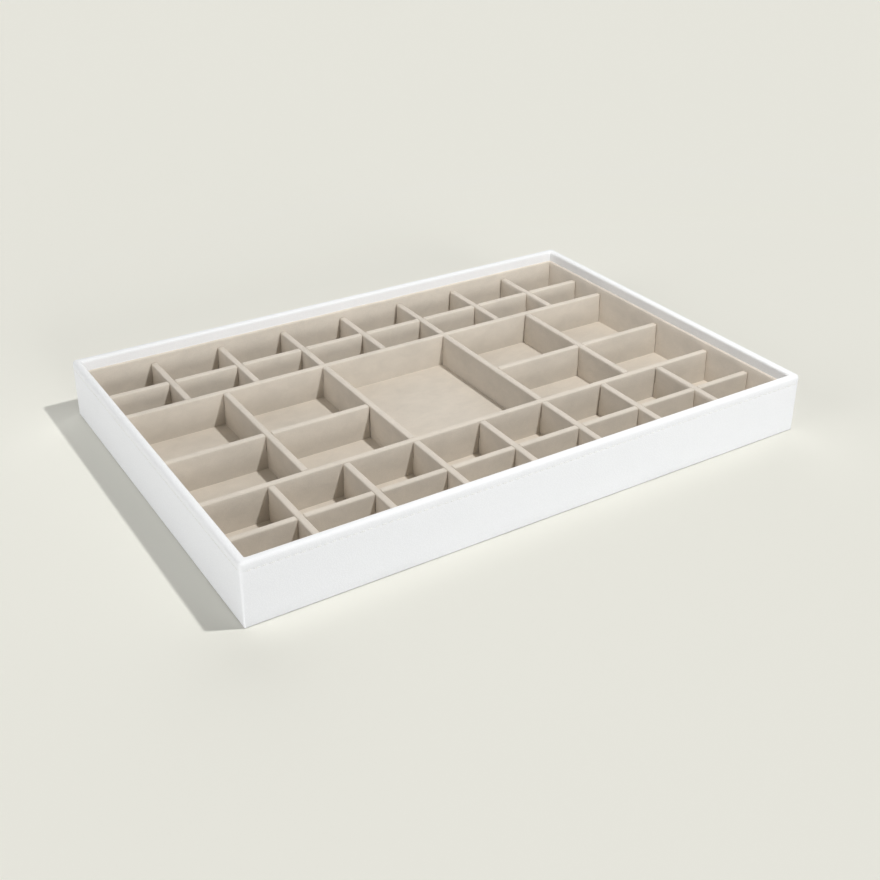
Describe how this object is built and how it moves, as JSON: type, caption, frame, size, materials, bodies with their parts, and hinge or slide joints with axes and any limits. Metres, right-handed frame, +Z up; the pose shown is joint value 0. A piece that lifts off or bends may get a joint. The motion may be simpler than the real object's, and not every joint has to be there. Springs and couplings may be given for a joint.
{
  "type": "jewelry tray",
  "caption": "Shallow open rectangular jewelry tray, white leatherette outside and beige velvet inside, with a fixed velvet divider grid of small, medium and large compartments.",
  "frame": {"origin": "centre of the underside, on the surface that the tray stands on", "axes": "+X along the long side to the right, +Y from the front to the back, +Z up"},
  "size_m": [0.385, 0.26, 0.0395],
  "materials": {
    "leatherette": "fine-grained satin white",
    "thread": "white sewing thread",
    "velvet": "short-pile beige velvet",
    "card": "raw grey card",
    "fibreboard": "raw fibreboard",
    "felt": "thin beige felt"
  },
  "bodies": {
    "root": {"base_board": "fibreboard", "column_divider_1_back_card": "card", "column_divider_1_back_velvet": "velvet", "column_divider_1_front_card": "card", "column_divider_1_front_velvet": "velvet", "column_divider_2_back_card": "card", "column_divider_2_back_velvet": "velvet", "column_divider_2_front_card": "card", "column_divider_2_front_velvet": "velvet", "column_divider_3_card": "card", "column_divider_3_velvet": "velvet", "column_divider_4_back_card": "card", "column_divider_4_back_velvet": "velvet", "column_divider_4_front_card": "card", "column_divider_4_front_velvet": "velvet", "column_divider_5_card": "card", "column_divider_5_velvet": "velvet", "column_divider_6_back_card": "card", "column_divider_6_back_velvet": "velvet", "column_divider_6_front_card": "card", "column_divider_6_front_velvet": "velvet", "column_divider_7_back_card": "card", "column_divider_7_back_velvet": "velvet", "column_divider_7_front_card": "card", "column_divider_7_front_velvet": "velvet", "floor_card": "card", "floor_velvet": "velvet", "leatherette_wrap": "leatherette", "liner_card_back": "card", "liner_card_front": "card", "liner_card_left": "card", "liner_card_right": "card", "liner_velvet_back": "velvet", "liner_velvet_front": "velvet", "liner_velvet_left": "velvet", "liner_velvet_right": "velvet", "middle_divider_left_card": "card", "middle_divider_left_velvet": "velvet", "middle_divider_right_card": "card", "middle_divider_right_velvet": "velvet", "rim_stitching": "thread", "row_divider_1_card": "card", "row_divider_1_velvet": "velvet", "row_divider_2_card": "card", "row_divider_2_velvet": "velvet", "row_divider_3_left_card": "card", "row_divider_3_left_velvet": "velvet", "row_divider_3_right_card": "card", "row_divider_3_right_velvet": "velvet", "row_divider_4_card": "card", "row_divider_4_velvet": "velvet", "row_divider_5_card": "card", "row_divider_5_velvet": "velvet", "underside_cover": "felt", "wall_board_back": "fibreboard", "wall_board_front": "fibreboard", "wall_board_left": "fibreboard", "wall_board_right": "fibreboard"}
  },
  "joints": []
}
